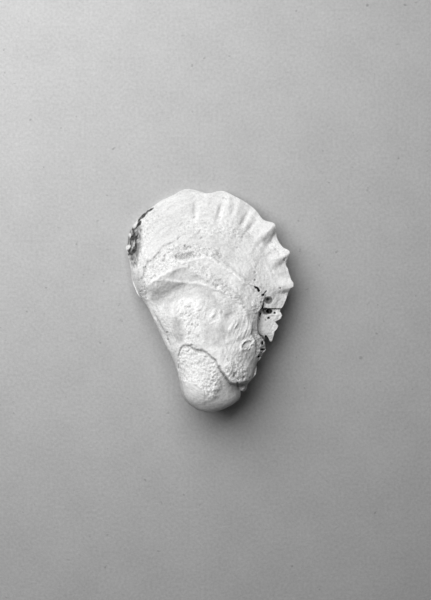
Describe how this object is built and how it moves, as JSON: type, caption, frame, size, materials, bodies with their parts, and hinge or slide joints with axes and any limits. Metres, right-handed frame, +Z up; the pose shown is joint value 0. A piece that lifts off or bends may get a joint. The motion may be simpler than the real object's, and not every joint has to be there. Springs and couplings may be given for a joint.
{
  "type": "oyster half shell",
  "caption": "Empty cupped valve of an oyster lying rim down: rough layered outside up, fluted margin at one end, knobbed hinge end, hollow underneath.",
  "frame": {"origin": "bottom centre of the box round the shell, on the plane that its rim rests on", "axes": "+Z up towards the crest of the outside, +Y along the shell from the hinge knob to the fluted margin, +X to the right seen from above"},
  "size_m": [0.0834, 0.1105, 0.0323],
  "materials": {
    "shell": "dry, chalky and matt outside, smoother and faintly lustrous inside"
  },
  "bodies": {
    "root": {"oyster_shell": "shell"}
  },
  "joints": []
}
